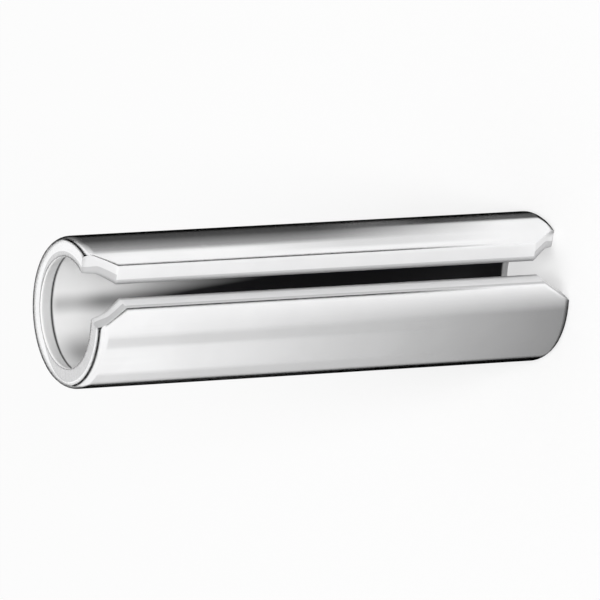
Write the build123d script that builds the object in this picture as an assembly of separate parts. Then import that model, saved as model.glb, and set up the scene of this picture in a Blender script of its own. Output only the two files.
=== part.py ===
from build123d import *
import os
from math import atan2, cos, sin, sqrt

# Slotted spring pin: one strip of spring steel rolled into a C-shaped tube.
# Frame: the pin's axis is +Z, its lower end face lies on z = 0 and the slot faces -Y.
# Lengths are in millimetres, with the pin as it is before it is driven into a hole.

# ---- Driving dimensions ----
pin_length = 30.0
outer_diameter = 8.55
wall_thickness = 0.9

# Both ends are swaged to a slight rounded nose that leads the pin into its hole.
# Inside, the bend of the wall reaches further along the pin than it does outside.
nose_length_outside = 0.55
nose_length_inside = 0.85
nose_drop_outside = 0.25
nose_drop_inside = 0.33
end_edge_radius = 0.1

# The two long edges of the strip are bevelled, so the slot opens outward as a V.
slot_width_outside = 2.45
slot_width_inside = 0.82
slot_edge_radius = 0.06

# The strip's four corners are cut back, so the slot flares at both ends.
corner_cut_length = 1.7
corner_cut_width = 1.05
corner_round_radius = 0.12

# ---- Derived sizes ----
outer_radius = outer_diameter / 2
bore_radius = outer_radius - wall_thickness
nose_radius_outside = outer_radius - nose_drop_outside
nose_radius_inside = bore_radius - nose_drop_inside

# Where one bevelled face meets the outside and the bore, at +X beside the slot.
outer_edge_x = slot_width_outside / 2
outer_edge_y = -sqrt(outer_radius**2 - outer_edge_x**2)
inner_edge_x = slot_width_inside / 2
inner_edge_y = -sqrt(bore_radius**2 - inner_edge_x**2)

# Angle between that face and the slot's centre plane.
bevel_angle = atan2(outer_edge_x - inner_edge_x, inner_edge_y - outer_edge_y)
bevel_direction = Vector(sin(bevel_angle), -cos(bevel_angle), 0)


def turned_wall():
    """The closed tube with its two swaged noses, turned about the axis."""
    with BuildPart() as tube:
        with BuildSketch(Plane.XZ) as section:
            with BuildLine():
                low_face = Line((nose_radius_inside, 0), (nose_radius_outside, 0))
                side = Line(
                    (outer_radius, nose_length_outside),
                    (outer_radius, pin_length - nose_length_outside),
                )
                high_face = Line((nose_radius_outside, pin_length), (nose_radius_inside, pin_length))
                TangentArc(side @ 0, low_face @ 1, tangent=(0, -1))
                TangentArc(side @ 1, high_face @ 0, tangent=(0, 1))
                Polyline(
                    high_face @ 1,
                    (bore_radius, pin_length - nose_length_inside),
                    (bore_radius, nose_length_inside),
                    low_face @ 0,
                )
            make_face()
            rims = section.vertices().group_by(Axis.Y)
            fillet(rims[0] + rims[-1], radius=end_edge_radius)
        revolve(axis=Axis.Z)
    return tube.part


def slot_cutter():
    """A prism along the whole pin: parallel inside the bore, then opening at the bevel."""
    reach = wall_thickness
    beyond = bevel_direction * reach
    with BuildPart() as cutter:
        with BuildSketch(Plane.XY.offset(-reach)):
            with BuildLine():
                Polyline(
                    (inner_edge_x, inner_edge_y / 2),
                    (inner_edge_x, inner_edge_y),
                    (outer_edge_x + beyond.X, outer_edge_y + beyond.Y),
                    (-outer_edge_x - beyond.X, outer_edge_y + beyond.Y),
                    (-inner_edge_x, inner_edge_y),
                    (-inner_edge_x, inner_edge_y / 2),
                    close=True,
                )
            make_face()
        extrude(amount=pin_length + 2 * reach)
    return cutter.part


def corner_cutter():
    """The wedge taken off one corner of the strip: at +X beside the slot, at the lower end."""
    overrun = wall_thickness
    clearance = inner_edge_x / 4
    slope = corner_cut_width / corner_cut_length
    corner_plane = Plane(
        origin=(outer_edge_x, outer_edge_y, 0),
        x_dir=(0, 0, 1),
        z_dir=bevel_direction,
    )
    with BuildPart() as cutter:
        with BuildSketch(corner_plane.offset(-2 * wall_thickness)):
            with BuildLine():
                Polyline(
                    (corner_cut_length + clearance / slope, clearance),
                    (-overrun, -corner_cut_width - overrun * slope),
                    (-overrun, clearance),
                    close=True,
                )
            make_face()
        extrude(amount=3 * wall_thickness)
    return cutter.part


def cut_pin():
    """The turned wall with its slot and the four corners of the strip cut away."""
    pin = turned_wall() - slot_cutter()
    low_right = corner_cutter()
    low_pair = [low_right, mirror(low_right, about=Plane.YZ)]
    middle = Plane.XY.offset(pin_length / 2)
    high_pair = [mirror(wedge, about=middle) for wedge in low_pair]
    for wedge in low_pair + high_pair:
        pin -= wedge
    return pin.solid()


def corner_turns(pin):
    """The four short edges across the wall where the slot turns into a corner cut."""
    turns = (corner_cut_length, pin_length - corner_cut_length)
    return [
        edge
        for edge in pin.edges().filter_by(GeomType.LINE)
        if min(abs(edge.center().Z - height) for height in turns) < 1e-4
    ]


def outside_slot_edges(pin):
    """The edges that run along the slot and its corner cuts on the pin's outside."""
    outside = outer_radius - wall_thickness / 2
    chosen = []
    for edge in pin.edges():
        middle = edge @ 0.5
        runs_along = abs(edge.tangent_at(0.5).Z) > 0.3
        on_outside = sqrt(middle.X**2 + middle.Y**2) > outside
        beside_slot = middle.Y < -outer_radius / 2
        on_a_rim = edge.length < 2 * end_edge_radius
        if runs_along and on_outside and beside_slot and not on_a_rim:
            chosen.append(edge)
    return chosen


pin = cut_pin()
pin = pin.fillet(corner_round_radius, corner_turns(pin))
pin = pin.fillet(slot_edge_radius, outside_slot_edges(pin))
pin.label = "spring_pin"

os.makedirs("parts", exist_ok=True)
export_step(pin, "parts/spring_pin.step")
print("volume", round(pin.volume, 2), "mm3, faces", len(pin.faces()), "valid", pin.is_valid)
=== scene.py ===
from math import cos, radians, sin

import bpy
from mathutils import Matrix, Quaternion, Vector


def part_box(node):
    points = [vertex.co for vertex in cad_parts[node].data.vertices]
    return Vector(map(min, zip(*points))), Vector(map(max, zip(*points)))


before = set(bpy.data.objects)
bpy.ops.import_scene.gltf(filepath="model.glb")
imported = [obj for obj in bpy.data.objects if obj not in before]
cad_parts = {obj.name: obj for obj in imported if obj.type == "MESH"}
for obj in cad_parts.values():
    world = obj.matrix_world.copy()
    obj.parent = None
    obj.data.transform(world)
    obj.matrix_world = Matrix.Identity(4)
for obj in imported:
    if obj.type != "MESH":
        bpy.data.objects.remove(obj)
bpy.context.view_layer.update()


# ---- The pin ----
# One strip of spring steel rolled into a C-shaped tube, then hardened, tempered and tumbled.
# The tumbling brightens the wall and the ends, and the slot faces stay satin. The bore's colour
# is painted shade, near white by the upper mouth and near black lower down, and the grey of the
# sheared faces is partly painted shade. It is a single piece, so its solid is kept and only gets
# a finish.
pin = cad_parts["spring_pin"]
pin_low, pin_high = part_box("spring_pin")
pin_length = pin_high.z - pin_low.z
pin_radius = (pin_high.x - pin_low.x) / 2
wall_thickness = 0.0009

# At both ends the wall bends inward: over the mouth's length it narrows the bore by the drop.
mouth_length = 0.00085
mouth_drop = 0.00033


def new_group(name, inputs, outputs):
    group = bpy.data.node_groups.new(name, "ShaderNodeTree")
    for socket_name, kind, default in inputs:
        socket = group.interface.new_socket(socket_name, in_out="INPUT", socket_type=kind)
        if default is not None:
            socket.default_value = default
    for socket_name, kind in outputs:
        group.interface.new_socket(socket_name, in_out="OUTPUT", socket_type=kind)
    entry = group.nodes.new("NodeGroupInput")
    leave = group.nodes.new("NodeGroupOutput")
    return group, entry, leave


def plug(links, value, socket):
    if isinstance(value, bpy.types.NodeSocket):
        links.new(value, socket)
    else:
        socket.default_value = value


def calculate(tree, operation, first, second=0.0, third=0.0, clamp=False):
    node = tree.nodes.new("ShaderNodeMath")
    node.operation = operation
    node.use_clamp = clamp
    plug(tree.links, first, node.inputs[0])
    plug(tree.links, second, node.inputs[1])
    plug(tree.links, third, node.inputs[2])
    return node.outputs[0]


def measure(tree, operation, first, second=(0.0, 0.0, 0.0)):
    node = tree.nodes.new("ShaderNodeVectorMath")
    node.operation = operation
    plug(tree.links, first, node.inputs[0])
    plug(tree.links, second, node.inputs[1])
    gives_number = operation in ("LENGTH", "DOT_PRODUCT")
    return node.outputs["Value" if gives_number else "Vector"]


def ramp(tree, value, start, end, low=0.0, high=1.0):
    node = tree.nodes.new("ShaderNodeMapRange")
    node.interpolation_type = "SMOOTHSTEP"
    plug(tree.links, value, node.inputs["Value"])
    plug(tree.links, start, node.inputs["From Min"])
    plug(tree.links, end, node.inputs["From Max"])
    plug(tree.links, low, node.inputs["To Min"])
    plug(tree.links, high, node.inputs["To Max"])
    return node.outputs["Result"]


def noise(tree, place, scale, detail, roughness=0.5):
    node = tree.nodes.new("ShaderNodeTexNoise")
    plug(tree.links, place, node.inputs["Vector"])
    plug(tree.links, scale, node.inputs["Scale"])
    plug(tree.links, detail, node.inputs["Detail"])
    plug(tree.links, roughness, node.inputs["Roughness"])
    return node.outputs["Fac"]


def split(tree, vector):
    node = tree.nodes.new("ShaderNodeSeparateXYZ")
    plug(tree.links, vector, node.inputs[0])
    return node.outputs


# The angle round the pin in radians: 0 at the back, across from the slot, and more towards +X.
def angle_round(tree, spot):
    return calculate(tree, "ARCTAN2", spot["X"], spot["Y"])


# A place on the strip as if it were rolled out flat again: the way round and the height.
def rolled_out(tree, place):
    spot = split(tree, place)
    return calculate(tree, "MULTIPLY", angle_round(tree, spot), pin_radius), spot["Z"]


def flat_place(tree, across, along):
    node = tree.nodes.new("ShaderNodeCombineXYZ")
    plug(tree.links, across, node.inputs["X"])
    plug(tree.links, along, node.inputs["Y"])
    return node.outputs[0]


# Fine lines that the rolls leave along the strip, which end up running along the pin, and broad
# patches where the tumbling left the steel a little duller.
def rolled_lines_group():
    line_detail, line_roughness = 4.0, 0.6
    patches_per_metre, patch_detail = 400.0, 3.0
    group, entry, leave = new_group(
        "rolled_lines",
        [
            ("Place", "NodeSocketVector", None),
            ("Lines per metre", "NodeSocketFloat", 3000.0),
            ("Breaks per metre", "NodeSocketFloat", 60.0),
        ],
        [("Lines", "NodeSocketFloat"), ("Patches", "NodeSocketFloat")],
    )
    tree, links = group, group.links
    place = entry.outputs["Place"]
    way_round, height = rolled_out(tree, place)
    across = calculate(tree, "MULTIPLY", way_round, entry.outputs["Lines per metre"])
    along = calculate(tree, "MULTIPLY", height, entry.outputs["Breaks per metre"])
    stretched = flat_place(tree, across, along)
    lines = noise(tree, stretched, 1.0, line_detail, line_roughness)
    patches = noise(tree, place, patches_per_metre, patch_detail)
    links.new(lines, leave.inputs["Lines"])
    links.new(patches, leave.inputs["Patches"])
    return group


# Small knocks and hairline scratches that the pins give each other in the tumbling barrel. A
# scratch runs where a stretched noise crosses its middle, and a second noise breaks it up.
def tumble_marks_group():
    knock_reach = 0.28
    scratch_slants = (0.35, -1.0)
    scratch_stretch, scratch_detail = 0.05, 0.0
    scratch_width = 0.02
    breaks_per_metre, break_detail = 500.0, 2.0
    break_from, break_to = 0.58, 0.66
    group, entry, leave = new_group(
        "tumble_marks",
        [
            ("Place", "NodeSocketVector", None),
            ("Marks per metre", "NodeSocketFloat", 900.0),
            ("Share", "NodeSocketFloat", 0.1),
        ],
        [("Knocks", "NodeSocketFloat"), ("Scratches", "NodeSocketFloat")],
    )
    tree, links = group, group.links
    place, marks_per_metre = entry.outputs["Place"], entry.outputs["Marks per metre"]

    cells = tree.nodes.new("ShaderNodeTexVoronoi")
    cells.feature = "F1"
    links.new(place, cells.inputs["Vector"])
    links.new(marks_per_metre, cells.inputs["Scale"])
    spot = ramp(tree, cells.outputs["Distance"], 0.0, knock_reach, 1.0, 0.0)
    chance = tree.nodes.new("ShaderNodeSeparateColor")
    links.new(cells.outputs["Color"], chance.inputs[0])
    kept = calculate(tree, "LESS_THAN", chance.outputs[0], entry.outputs["Share"])
    strength = calculate(tree, "MULTIPLY", kept, chance.outputs[1])
    links.new(calculate(tree, "MULTIPLY", spot, strength), leave.inputs["Knocks"])

    unrolled = flat_place(tree, *rolled_out(tree, place))
    scratches = 0.0
    for slant in scratch_slants:
        turned = tree.nodes.new("ShaderNodeMapping")
        turned.inputs["Rotation"].default_value = (0.0, 0.0, slant)
        turned.inputs["Scale"].default_value = (1.0, scratch_stretch, 1.0)
        links.new(unrolled, turned.inputs["Vector"])
        stretched = turned.outputs["Vector"]
        hairs = noise(tree, stretched, marks_per_metre, scratch_detail)
        away = calculate(tree, "ABSOLUTE", calculate(tree, "SUBTRACT", hairs, 0.5))
        hair = ramp(tree, away, 0.0, scratch_width, 1.0, 0.0)
        breaks = noise(tree, stretched, breaks_per_metre, break_detail)
        broken = calculate(tree, "MULTIPLY", hair, ramp(tree, breaks, break_from, break_to))
        scratches = calculate(tree, "MAXIMUM", broken, scratches)
    links.new(scratches, leave.inputs["Scratches"])
    return group


# Where two faces meet the tumbling wears the corner round and bright.
def worn_edges_group():
    group, entry, leave = new_group(
        "worn_edges",
        [("Width", "NodeSocketFloat", 0.0003)],
        [("Rounded", "NodeSocketVector")],
    )
    rounded = group.nodes.new("ShaderNodeBevel")
    rounded.samples = 8
    group.links.new(entry.outputs["Width"], rounded.inputs["Radius"])
    group.links.new(rounded.outputs["Normal"], leave.inputs["Rounded"])
    return group


# Which side of the strip a point is on, told by the way its face looks. Outer rim is the outer
# half of the end faces. Torn and painted shade marks a grey part of each sheared face, which
# stands partly for steel torn in the shears and partly for painted shade: a quarter of the slot
# faces, half of the corner cuts, and a share of the ends that grows both ways round from the
# back.
def strip_sides_group():
    # Cosines of the angle between a face and the way out, round or up: where a side begins and
    # where it is full.
    bore_from, bore_full = -0.55, -0.75
    slot_from, slot_full = 0.4, 0.55
    corner_from, corner_full = 0.25, 0.35
    end_from, end_full = 0.8, 0.95
    # Shares of the wall's thickness, counted from the bore, for the torn and painted-shade grey.
    slot_torn_and_shade, corner_torn_and_shade = 0.24, 0.5
    back_torn_and_shade, right_torn_and_shade, left_torn_and_shade_more = 0.06, 0.44, 0.84
    torn_and_shade_blur = 0.03
    rim_from, rim_full = 0.4, 0.65
    # Angles round the pin where the torn and painted-shade share of the ends starts to grow and
    # where it is full.
    right_from, right_full = 0.3, 1.6
    left_from, left_full = 0.1, -1.2

    group, entry, leave = new_group(
        "strip_sides",
        [("Place", "NodeSocketVector", None), ("Facing", "NodeSocketVector", None)],
        [
            ("Bore", "NodeSocketFloat"), ("Slot faces", "NodeSocketFloat"),
            ("Ends", "NodeSocketFloat"), ("Outer rim", "NodeSocketFloat"),
            ("Torn and painted shade", "NodeSocketFloat"),
        ],
    )
    tree, links = group, group.links
    place, facing = entry.outputs["Place"], entry.outputs["Facing"]
    spot = split(tree, place)
    flat = measure(tree, "MULTIPLY", place, (1.0, 1.0, 0.0))
    outward = measure(tree, "NORMALIZE", flat)
    onward = measure(tree, "CROSS_PRODUCT", (0.0, 0.0, 1.0), outward)
    facing_out = measure(tree, "DOT_PRODUCT", facing, outward)
    facing_round = measure(tree, "DOT_PRODUCT", facing, onward)
    sideways = calculate(tree, "ABSOLUTE", facing_round)
    upright = calculate(tree, "ABSOLUTE", split(tree, facing)["Z"])

    bore = ramp(tree, facing_out, bore_from, bore_full)
    ends = ramp(tree, upright, end_from, end_full)
    beside_slot = ramp(tree, sideways, slot_from, slot_full)
    slot = calculate(tree, "MULTIPLY", beside_slot, calculate(tree, "SUBTRACT", 1.0, ends))
    corners = ramp(tree, upright, corner_from, corner_full)

    # How far into the wall the point is, as a share of its thickness: 0 at the bore, which bends
    # inward at the mouths, and 1 at the outside.
    height = spot["Z"]
    to_top = calculate(tree, "SUBTRACT", pin_length, height)
    depth = calculate(tree, "MINIMUM", height, to_top)
    drop = ramp(tree, depth, 0.0, mouth_length, mouth_drop, 0.0)
    bore_here = calculate(tree, "SUBTRACT", pin_radius - wall_thickness, drop)
    from_axis = measure(tree, "LENGTH", flat)
    into_wall = calculate(tree, "SUBTRACT", from_axis, bore_here)
    share = calculate(tree, "DIVIDE", into_wall, wall_thickness)
    outer_part = ramp(tree, share, rim_from, rim_full)

    # On the slot's -X face the torn and painted-shade part lies at the outside instead of at the
    # bore.
    on_left = calculate(tree, "LESS_THAN", spot["X"], 0.0)
    turned_over = calculate(tree, "MULTIPLY", on_left, slot)
    other_way = calculate(tree, "SUBTRACT", 1.0, share)
    swap = calculate(tree, "SUBTRACT", other_way, share)
    from_burr = calculate(tree, "ADD", share, calculate(tree, "MULTIPLY", turned_over, swap))

    corner_more = corner_torn_and_shade - slot_torn_and_shade
    edge_share = calculate(tree, "MULTIPLY_ADD", corners, corner_more, slot_torn_and_shade)
    # The grey's share on the ends grows round the pin, which paints shade on those sides.
    angle = angle_round(tree, spot)
    right_share = ramp(tree, angle, right_from, right_full, back_torn_and_shade, right_torn_and_shade)
    left_share = ramp(tree, angle, left_from, left_full, 0.0, left_torn_and_shade_more)
    end_share = calculate(tree, "ADD", right_share, left_share)
    share_gap = calculate(tree, "SUBTRACT", end_share, edge_share)
    torn_and_shade_share = calculate(tree, "MULTIPLY_ADD", ends, share_gap, edge_share)
    past_torn_and_shade = calculate(tree, "SUBTRACT", from_burr, torn_and_shade_share)
    torn_and_shade = ramp(tree, past_torn_and_shade, -torn_and_shade_blur, torn_and_shade_blur, 1.0, 0.0)
    sheared = calculate(tree, "MAXIMUM", ends, slot)

    links.new(bore, leave.inputs["Bore"])
    links.new(slot, leave.inputs["Slot faces"])
    links.new(ends, leave.inputs["Ends"])
    links.new(calculate(tree, "MULTIPLY", ends, outer_part), leave.inputs["Outer rim"])
    links.new(calculate(tree, "MULTIPLY", torn_and_shade, sheared), leave.inputs["Torn and painted shade"])
    return group


# Painted shade in the bore's colour: light near the upper mouth, dark lower down and left off at
# the very rims. Two painted dark streaks stand for shade down the bore, and a painted dark line
# marks the crease where the wall bends inward to the upper mouth.
def bore_shade_group():
    light_above, dark_below = 0.0258, 0.0145
    crease_width = 0.00015
    unshaded_below, shaded_above = 0.35 * mouth_length, 0.5 * mouth_length
    # Each painted shade streak's middle and half width in radians round the bore, its strength,
    # and the depths where it begins and is full, in lengths of the mouth. The first two make one
    # streak, which darkens in two steps.
    shade_streaks = (
        (0.46, 0.24, 0.4, 0.6, 1.6),
        (0.47, 0.3, 0.3, 2.4, 5.0),
        (-0.43, 0.52, 0.58, 0.2, 2.6),
    )
    group, entry, leave = new_group(
        "bore_painted_shade",
        [("Place", "NodeSocketVector", None)],
        [("Painted shade", "NodeSocketFloat")],
    )
    tree, links = group, group.links
    spot = split(tree, entry.outputs["Place"])
    height = spot["Z"]
    angle = angle_round(tree, spot)
    bore_shade = ramp(tree, height, light_above, dark_below)
    for middle, half_width, strength, first, full in shade_streaks:
        away = calculate(tree, "ABSOLUTE", calculate(tree, "SUBTRACT", angle, middle))
        shade_streak = ramp(tree, away, 0.0, half_width, strength, 0.0)
        first_height = pin_length - first * mouth_length
        full_height = pin_length - full * mouth_length
        begun = ramp(tree, height, first_height, full_height)
        bore_shade = calculate(tree, "MULTIPLY_ADD", shade_streak, begun, bore_shade, clamp=True)
    # A painted dark line of shade in the crease where the wall bends inward to the upper mouth.
    from_crease = calculate(tree, "SUBTRACT", height, pin_length - mouth_length)
    crease_shade = ramp(tree, calculate(tree, "ABSOLUTE", from_crease), 0.0, crease_width, 1.0, 0.0)
    bore_shade = calculate(tree, "MAXIMUM", bore_shade, crease_shade)
    above_foot = ramp(tree, height, unshaded_below, shaded_above)
    links.new(calculate(tree, "MULTIPLY", bore_shade, above_foot), leave.inputs["Painted shade"])
    return group


def place_group(tree, group):
    node = tree.nodes.new("ShaderNodeGroup")
    node.node_tree = group
    return node


def blend(tree, amount, first, second):
    node = tree.nodes.new("ShaderNodeMix")
    node.data_type = "RGBA"
    plug(tree.links, amount, node.inputs["Factor"])
    plug(tree.links, first, node.inputs["A"])
    plug(tree.links, second, node.inputs["B"])
    return node.outputs["Result"]


# Bright where it was tumbled, satin on the slot faces, and in the bore a matt coat that scatters
# light as a thin paint does, whose colour carries painted shade. The grey of the sheared faces is
# partly painted shade.
def bright_steel():
    tumbled = (0.96, 0.96, 0.965, 1.0)
    tumbled_dull = (0.93, 0.93, 0.935, 1.0)
    # Grey of the sheared faces: partly torn steel, partly painted shade.
    torn_and_shade = (0.7, 0.7, 0.705, 1.0)
    # A lit and a shaded copy of the bore's colour, which paint its light and shade.
    lit_bore_colour = (0.985, 0.985, 0.985, 1.0)
    shaded_bore_colour = (0.02, 0.02, 0.022, 1.0)
    # Levels of the patches and of the lines between which the steel goes from bright to dull.
    patch_from, patch_full = 0.35, 0.7
    line_from, line_full = 0.3, 0.7
    # Roughness of the bright and the dull lines, and what each mark and side adds to it.
    line_bright, line_dull = 0.11, 0.18
    knock_dull, scratch_dull = 0.04, 0.12
    slot_dull, torn_and_shade_dull, bore_dull = 0.3, 0.12, 0.35
    # The share of its metallic shine that a side loses.
    slot_matt, bore_matt = 0.6, 1.0
    # How wide the corners are worn round, in metres.
    edge_wear, extra_rim_wear = 0.0003, 0.0004
    # The relief's height in metres, the share of the lines that the ends lose, and the depth of
    # a knock against that of a line.
    relief_height = 0.000002
    lines_lost_on_ends = 0.8
    knock_depth = 0.5

    material = bpy.data.materials.new("bright_spring_steel")
    material.use_nodes = True
    tree = material.node_tree
    links = tree.links
    shader = tree.nodes["Principled BSDF"]
    where = tree.nodes.new("ShaderNodeTexCoord")
    place = where.outputs["Object"]
    sides = place_group(tree, strip_sides_group())
    links.new(place, sides.inputs["Place"])
    links.new(where.outputs["Normal"], sides.inputs["Facing"])
    lines = place_group(tree, rolled_lines_group())
    links.new(place, lines.inputs["Place"])
    marks = place_group(tree, tumble_marks_group())
    links.new(place, marks.inputs["Place"])
    bore_shade = place_group(tree, bore_shade_group())
    links.new(place, bore_shade.inputs["Place"])
    edges = place_group(tree, worn_edges_group())
    on_rim = sides.outputs["Outer rim"]
    wear = calculate(tree, "MULTIPLY_ADD", on_rim, extra_rim_wear, edge_wear)
    links.new(wear, edges.inputs["Width"])

    patches = ramp(tree, lines.outputs["Patches"], patch_from, patch_full)
    wall = blend(tree, patches, tumbled, tumbled_dull)
    # The sheared faces' grey is partly torn steel and partly painted shade.
    sheared = blend(tree, sides.outputs["Torn and painted shade"], wall, torn_and_shade)
    # The bore's colour goes from the lit copy to the shaded one: painted shade.
    bore_with_painted_shade = blend(tree, bore_shade.outputs["Painted shade"], lit_bore_colour, shaded_bore_colour)
    colour = blend(tree, sides.outputs["Bore"], sheared, bore_with_painted_shade)
    links.new(colour, shader.inputs["Base Color"])

    dull = ramp(tree, lines.outputs["Lines"], line_from, line_full, line_bright, line_dull)
    for mask, more in (
        (marks.outputs["Knocks"], knock_dull),
        (marks.outputs["Scratches"], scratch_dull),
        (sides.outputs["Slot faces"], slot_dull),
        (sides.outputs["Torn and painted shade"], torn_and_shade_dull),
        (sides.outputs["Bore"], bore_dull),
    ):
        dull = calculate(tree, "MULTIPLY_ADD", mask, more, dull)
    links.new(dull, shader.inputs["Roughness"])

    metal = calculate(tree, "MULTIPLY_ADD", sides.outputs["Slot faces"], -slot_matt, 1.0)
    metal = calculate(tree, "MULTIPLY_ADD", sides.outputs["Bore"], -bore_matt, metal, clamp=True)
    links.new(metal, shader.inputs["Metallic"])

    rolled_here = calculate(tree, "MULTIPLY_ADD", sides.outputs["Ends"], -lines_lost_on_ends, 1.0)
    rolled = calculate(tree, "MULTIPLY", lines.outputs["Lines"], rolled_here)
    height = calculate(tree, "MULTIPLY_ADD", marks.outputs["Knocks"], -knock_depth, rolled)
    relief = tree.nodes.new("ShaderNodeBump")
    relief.inputs["Strength"].default_value = 1.0
    relief.inputs["Distance"].default_value = relief_height
    links.new(height, relief.inputs["Height"])
    links.new(edges.outputs["Rounded"], relief.inputs["Normal"])
    links.new(relief.outputs["Normal"], shader.inputs["Normal"])
    return material


pin.data.materials.clear()
pin.data.materials.append(bright_steel())


# ---- The floor ----
# A plain white sheet that the pin stands on. To the camera and in the steel it is evenly white,
# apart from the pin's soft shadow, and it throws back light as matte paper does.
floor_half = 2.0


# 1 for what the camera sees, also by way of a mirror or through glass, and 0 for plain light.
def seen_directly(tree):
    path = tree.nodes.new("ShaderNodeLightPath")
    seen = path.outputs["Is Camera Ray"]
    for way in ("Is Glossy Ray", "Is Transmission Ray"):
        seen = calculate(tree, "MAXIMUM", seen, path.outputs[way])
    return seen


def white_floor():
    sheet_grey = (0.8, 0.8, 0.8, 1.0)
    white = (1.0, 1.0, 1.0, 1.0)
    glow_share = 0.6
    material = bpy.data.materials.new("white_floor")
    material.use_nodes = True
    tree = material.node_tree
    links = tree.links
    tree.nodes.clear()
    sheet = tree.nodes.new("ShaderNodeBsdfDiffuse")
    sheet.inputs["Color"].default_value = sheet_grey
    lit = tree.nodes.new("ShaderNodeBsdfDiffuse")
    lit.inputs["Color"].default_value = white
    glow = tree.nodes.new("ShaderNodeEmission")
    glow.inputs["Strength"].default_value = 1.0
    seen = tree.nodes.new("ShaderNodeMixShader")
    seen.inputs["Fac"].default_value = glow_share
    links.new(lit.outputs["BSDF"], seen.inputs[1])
    links.new(glow.outputs["Emission"], seen.inputs[2])
    surface = tree.nodes.new("ShaderNodeMixShader")
    links.new(seen_directly(tree), surface.inputs["Fac"])
    links.new(sheet.outputs["BSDF"], surface.inputs[1])
    links.new(seen.outputs["Shader"], surface.inputs[2])
    output = tree.nodes.new("ShaderNodeOutputMaterial")
    links.new(surface.outputs["Shader"], output.inputs["Surface"])
    return material


floor_mesh = bpy.data.meshes.new("floor")
floor_mesh.from_pydata(
    [(-floor_half, -floor_half, 0), (floor_half, -floor_half, 0),
     (floor_half, floor_half, 0), (-floor_half, floor_half, 0)],
    [],
    [(0, 1, 2, 3)],
)
floor_mesh.materials.append(white_floor())
floor = bpy.data.objects.new("floor", floor_mesh)
bpy.context.scene.collection.objects.link(floor)


# ---- The camera ----
# A long lens that looks down on the upper end, turned on its side so that the pin lies across
# the frame. Its angles are in degrees, and its aim is in pixels of the image.
view_turn, view_elevation, view_roll = -17.6, 28.0, -93.34
view_distance = 125 * pin_radius
image_width, pixels_per_radius = 600, 75.87
aim_across, aim_up = 2.8, 1.05


# Directions are given from the pin: degrees round it from the slot's side, and above the floor.
def from_pin(azimuth, elevation, distance):
    azimuth, elevation = radians(azimuth), radians(elevation)
    return Vector((
        sin(azimuth) * cos(elevation),
        -cos(azimuth) * cos(elevation),
        sin(elevation),
    )) * distance


toward = from_pin(view_turn, view_elevation, 1)
turn = toward.to_track_quat("Z", "Y") @ Quaternion((0, 0, 1), radians(view_roll))
lens = bpy.data.cameras.new("camera")
lens.sensor_width = 36.0
lens.lens = lens.sensor_width * pixels_per_radius * (view_distance / pin_radius) / image_width
lens.clip_start = view_distance / 10
lens.clip_end = view_distance * 10
camera = bpy.data.objects.new("camera", lens)
camera.rotation_mode = "QUATERNION"
camera.rotation_quaternion = turn
aim = Vector((-aim_across, -aim_up, 0)) * (pin_radius / pixels_per_radius)
middle = Vector((0, 0, (pin_low.z + pin_high.z) / 2))
camera.location = middle + toward * view_distance + turn @ aim
bpy.context.scene.collection.objects.link(camera)
bpy.context.scene.camera = camera
bpy.context.scene.view_settings.view_transform = "Standard"


# ---- The lamps ----
# A white room that lights the pin from all sides, and one large softbox above the camera.
# The camera and the steel see the room evenly white, and the softbox isn't mirrored.
room_strength = 0.53
white_light = (1.0, 1.0, 1.0, 1.0)

world = bpy.data.worlds.new("white_room")
bpy.context.scene.world = world
world.use_nodes = True
room = world.node_tree
room_light = room.nodes["Background"]
room_light.inputs["Color"].default_value = white_light
room_light.inputs["Strength"].default_value = room_strength
room_white = room.nodes.new("ShaderNodeBackground")
room_white.inputs["Color"].default_value = white_light
room_white.inputs["Strength"].default_value = 1.0
room_mix = room.nodes.new("ShaderNodeMixShader")
room.links.new(seen_directly(room), room_mix.inputs["Fac"])
room.links.new(room_light.outputs["Background"], room_mix.inputs[1])
room.links.new(room_white.outputs["Background"], room_mix.inputs[2])
room.links.new(room_mix.outputs["Shader"], room.nodes["World Output"].inputs["Surface"])


def softbox(name, azimuth, elevation, distance, width, height, power):
    light = bpy.data.lights.new(name, "AREA")
    light.shape = "RECTANGLE"
    light.size, light.size_y = width, height
    light.energy = power
    lamp = bpy.data.objects.new(name, light)
    lamp.location = from_pin(azimuth, elevation, distance)
    lamp.rotation_mode = "QUATERNION"
    lamp.rotation_quaternion = lamp.location.to_track_quat("Z", "Y")
    lamp.visible_glossy = False
    bpy.context.scene.collection.objects.link(lamp)


softbox("key", azimuth=view_turn, elevation=45, distance=1.5, width=0.4, height=1.6, power=16.3)


# ---- The black cards ----
# Sheets of black card on the floor and in the air, which only the steel sees. They are cut and
# placed by mirroring the view in the wall, so each one darkens a known stretch of it. The shade
# of most cards fades out towards their edges.
card_columns, card_rows = 41, 31
far_rows = 11
rim_columns, rim_rows = 61, 5
stand_columns = 31
rim_middle = Vector((0, 0, pin_length))

# A floor card that goes on outwards ends where the wall, were it this high, would mirror the
# floor. A standing card stands there.
far_height = 0.24
far_distance = far_height / toward.z * cos(radians(view_elevation))


# Where steel with this normal looks, as the camera sees it.
def seen_by(normal):
    return 2 * toward.dot(normal) * normal - toward


def spread(start, end, count):
    return [start + (end - start) * step / (count - 1) for step in range(count)]


# The share of its shade that a card has at a value between its start and its end.
def fade(value, start, end, start_fade, end_fade):
    shade = 1.0
    if start_fade:
        shade *= min(1, (value - start) / start_fade)
    if end_fade:
        shade *= min(1, (end - value) / end_fade)
    return shade


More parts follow.
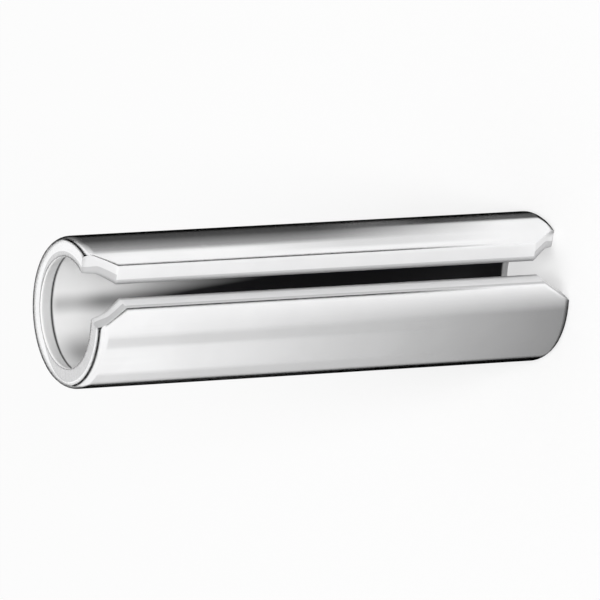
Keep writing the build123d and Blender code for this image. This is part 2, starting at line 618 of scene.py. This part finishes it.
# A card from rows of points with so many columns, and how black it is at each point.
def black_card(name, points, shades, columns):
    rows = len(points) // columns
    faces = [
        (r * columns + c, r * columns + c + 1, (r + 1) * columns + c + 1, (r + 1) * columns + c)
        for r in range(rows - 1) for c in range(columns - 1)
    ]
    mesh = bpy.data.meshes.new(name)
    mesh.from_pydata(points, [], faces)
    shade = mesh.attributes.new("shade", "FLOAT", "POINT")
    shade.data.foreach_set("value", shades)
    material = bpy.data.materials.new(name)
    material.use_nodes = True
    nodes, links = material.node_tree.nodes, material.node_tree.links
    nodes.clear()
    clear = nodes.new("ShaderNodeBsdfTransparent")
    black = nodes.new("ShaderNodeBsdfDiffuse")
    black.inputs["Color"].default_value = (0.0, 0.0, 0.0, 1.0)
    amount = nodes.new("ShaderNodeAttribute")
    amount.attribute_name = "shade"
    mix = nodes.new("ShaderNodeMixShader")
    output = nodes.new("ShaderNodeOutputMaterial")
    links.new(amount.outputs["Fac"], mix.inputs["Fac"])
    links.new(clear.outputs["BSDF"], mix.inputs[1])
    links.new(black.outputs["BSDF"], mix.inputs[2])
    links.new(mix.outputs["Shader"], output.inputs["Surface"])
    mesh.materials.append(material)
    card = bpy.data.objects.new(name, mesh)
    card.visible_camera = False
    card.visible_shadow = False
    card.visible_diffuse = False
    bpy.context.scene.collection.objects.link(card)


# A card on the floor for a stretch of the wall: turns in degrees from the middle of the view,
# heights up the wall in metres. Each has its own lift off the floor, so that no two cards lie
# in one plane. A card with a far shade goes on outwards and grades to that shade.
def floor_card(
    name, turns, heights, darkness, lift, turn_fades=(0, 0), height_fades=(0, 0), far=None,
):
    low, high = heights
    levels = spread(low, high, card_rows)
    if far is not None:
        levels += [high + (far_height - high) * step**2 for step in spread(0, 1, far_rows)[1:]]
    points, shades = [], []
    for height in levels:
        if far is not None and height > high:
            up = 1 - (1 - far) * (height - high) / (far_height - high)
        else:
            up = fade(height, low, high, *height_fades)
        for turn in spread(*turns, card_columns):
            normal = from_pin(view_turn + turn, 0, 1)
            ray = seen_by(normal)
            foot = normal * pin_radius + ray * ((height - lift) / -ray.z)
            points.append(Vector((foot.x, foot.y, lift)))
            shades.append(darkness * fade(turn, *turns, *turn_fades) * up)
    black_card(name, points, shades, card_columns)


# The strip of floor from the pin's axis backwards, which the wall hides from the view. The foot
# of the bore mirrors its start.
def card_behind(name, length, lift):
    back = -Vector((toward.x, toward.y, 0)).normalized()
    side = Vector((-back.y, back.x, 0)) * pin_radius
    far = back * length
    corners = (-side, side, far - side, far + side)
    points = [Vector((corner.x, corner.y, lift)) for corner in corners]
    black_card(name, points, [1.0, 1.0, 0.0, 0.0], 2)


# A card in the air, which draws the rounded rim of the upper end on its near side: turns as
# above, tilts of the rim's rounding in degrees from level to straight up.
def hung_card(name, turns, tilts, distance):
    points = []
    for tilt in spread(*tilts, rim_rows):
        for turn in spread(*turns, rim_columns):
            points.append(rim_middle + seen_by(from_pin(view_turn + turn, tilt, 1)) * distance)
    black_card(name, points, [1.0] * len(points), rim_columns)


# A card standing at the far end of the floor cards: turns as above, elevations in degrees above
# the level of the rim. A wall turned so far shows what lies twice as far round.
def standing_card(name, turns, elevations, darkness, turn_fades):
    points, shades = [], []
    for elevation in elevations:
        for turn in spread(*turns, stand_columns):
            points.append(rim_middle + from_pin(view_turn + 2 * turn, elevation, far_distance))
            shades.append(darkness * fade(turn, *turns, *turn_fades))
    black_card(name, points, shades, stand_columns)


# Above and below are as the frame shows the pin, with +X above. The heights go a little past
# the ends of the wall, for its rounded noses.
past_foot, past_top = -0.0008, 0.036

# Above: a broad band that deepens to the outline, goes on round the upper nose and fades out
# along the pin, with a haze beside it, a thin line at the outline, and a narrow dark band that
# grows towards the foot.
floor_card(
    "band_above", turns=(48, 92), heights=(0.003, past_top), darkness=0.63, lift=0.00004,
    turn_fades=(2, 0), height_fades=(0.012, 0))
floor_card(
    "band_deep", turns=(50, 92), heights=(0.003, past_top), darkness=0.83, lift=0.000045,
    turn_fades=(15, 0), height_fades=(0.012, 0))
floor_card(
    "band_far", turns=(44, 86), heights=(past_top, 0.04), darkness=0.93, lift=0.00005,
    turn_fades=(16, 6), far=0.7)
floor_card(
    "haze_above", turns=(41, 49.5), heights=(0.003, 0.02), darkness=0.22, lift=0.00006,
    turn_fades=(2, 2), height_fades=(0.006, 0.006))
floor_card(
    "edge_above", turns=(72, 92), heights=(past_foot, past_top), darkness=1.0, lift=0.00007,
    turn_fades=(5, 0), far=0.3)
floor_card(
    "foot_above", turns=(62.5, 92), heights=(past_foot, 0.0155), darkness=0.9, lift=0.00008,
    turn_fades=(2.5, 0), height_fades=(0, 0.008))

# In front of the slot, for a black line along the rounded lips of both its faces.
floor_card(
    "front", turns=(4, 30), heights=(0.004, past_top), darkness=1.0, lift=0.00009,
    turn_fades=(1.5, 1.5), height_fades=(0.006, 0), far=0.6)

# Below: a broad grey that grows towards the foot, a faint streak and a faint line that grow
# towards the upper end, and a black line at the outline.
floor_card(
    "band_below", turns=(-80, 0), heights=(past_foot, 0.029), darkness=0.7, lift=0.0001,
    turn_fades=(6, 20), height_fades=(0, 0.029))
floor_card(
    "streak_below", turns=(-31, -19), heights=(0.008, past_top), darkness=0.22, lift=0.00011,
    turn_fades=(2, 4), height_fades=(0.016, 0))
floor_card(
    "line_below", turns=(-76, -54), heights=(0.008, past_top), darkness=0.24, lift=0.00012,
    turn_fades=(0, 4), height_fades=(0.016, 0))
floor_card(
    "edge_below", turns=(-92, -69), heights=(0.0, past_top), darkness=1.0, lift=0.00013,
    turn_fades=(0, 4), far=0.1)

# Black card under the rounded nose of the foot, on both sides, which the steel mirrors: a painted
# contact shadow.
floor_card(
    "contact_shadow_above", turns=(42, 92), heights=(-0.0004, 0.0002), darkness=1.0, lift=0.00002,
    turn_fades=(6, 0), height_fades=(0, 0.0003))
floor_card(
    "contact_shadow_below", turns=(-92, -8), heights=(-0.0004, 0.0002), darkness=1.0, lift=0.00003,
    turn_fades=(0, 6), height_fades=(0, 0.0003))

card_behind("behind", length=0.06, lift=0.00014)
hung_card("rim_front", turns=(-88, 88), tilts=(34, 60), distance=0.4)

# These carry the lines of the lips on to the corner cuts and the band on to the upper nose, and
# draw the outline of the upper end on its far side.
standing_card(
    "stand_front", turns=(4, 30), elevations=(-5, 18), darkness=1.0, turn_fades=(1.5, 1.5))
standing_card(
    "stand_above", turns=(44, 80), elevations=(-5, 4), darkness=0.8, turn_fades=(16, 6))
standing_card(
    "stand_behind", turns=(74, 106), elevations=(-5, 14), darkness=1.0, turn_fades=(4, 4))
